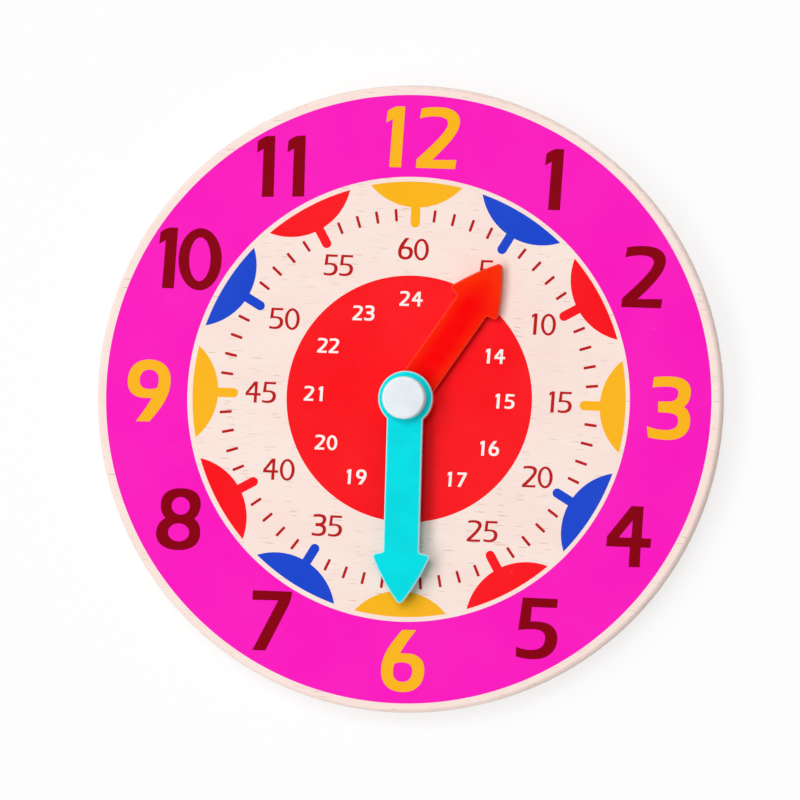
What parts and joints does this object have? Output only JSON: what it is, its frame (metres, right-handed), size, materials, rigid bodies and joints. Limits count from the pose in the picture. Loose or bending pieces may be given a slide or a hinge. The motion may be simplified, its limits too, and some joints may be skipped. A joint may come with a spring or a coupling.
{
  "type": "geared teaching clock",
  "caption": "Round wooden teaching clock with arrow-shaped hour and minute hands, driven together by a hidden gear train.",
  "frame": {"origin": "centre of the board's back face, which is what the clock lies on", "axes": "+Z out of the dial towards the reader, +Y towards twelve o'clock, +X towards three o'clock"},
  "size_m": [0.145, 0.145, 0.0201],
  "materials": {
    "beech_ply": "pale beech plywood under a thin satin varnish",
    "white_plastic": "moulded, gloss",
    "red_plastic": "moulded, gloss, slightly translucent",
    "turquoise_plastic": "moulded, gloss",
    "acetal": "natural, as moulded",
    "nylon": "natural, punched sheet",
    "steel": "bright, turned",
    "zinc_steel": "bright zinc plate",
    "ink_magenta": "screen-printed ink",
    "ink_red": "screen-printed ink",
    "ink_yellow": "screen-printed ink",
    "ink_blue": "screen-printed ink",
    "ink_maroon": "screen-printed ink",
    "ink_white": "screen-printed ink",
    "ink_crimson": "screen-printed ink"
  },
  "bodies": {
    "case": {"dial_panel": "beech_ply", "back_panel": "beech_ply", "back_cover": "white_plastic", "cover_screws": "zinc_steel", "centre_bush": "acetal", "hour_washer": "nylon", "wheel_stud": "steel", "stud_washer": "nylon", "friction_spring": "steel"},
    "minute_arbor": {"centre_arbor": "steel", "cannon_pinion": "acetal", "minute_hand": "turquoise_plastic", "hand_washer": "nylon", "centre_cap": "white_plastic"},
    "minute_wheel": {"minute_wheel": "acetal"},
    "hour_wheel": {"hour_wheel": "acetal"},
    "hour_hand": {"hour_hand": "red_plastic"}
  },
  "joints": [
    {"name": "minute_hand_turn", "type": "hinge", "parent": "case", "child": "minute_arbor", "pos_m": [0, 0, 0.0145], "axis": [0, 0, -1], "continuous": true},
    {"name": "minute_wheel_turn", "type": "hinge", "parent": "case", "child": "minute_wheel", "pos_m": [0, -0.02, 0.0045], "axis": [0, 0, -1], "continuous": true},
    {"name": "hour_wheel_turn", "type": "hinge", "parent": "case", "child": "hour_wheel", "pos_m": [0, 0, 0.0055], "axis": [0, 0, -1], "continuous": true},
    {"name": "hour_hand_set", "type": "hinge", "parent": "hour_wheel", "child": "hour_hand", "pos_m": [0, 0, 0.0119], "axis": [0, 0, -1], "continuous": true}
  ],
  "couplings": [
    {"joint": "minute_wheel_turn", "follows": "minute_hand_turn", "ratio": -0.33333},
    {"joint": "hour_wheel_turn", "follows": "minute_hand_turn", "ratio": 0.083333}
  ]
}
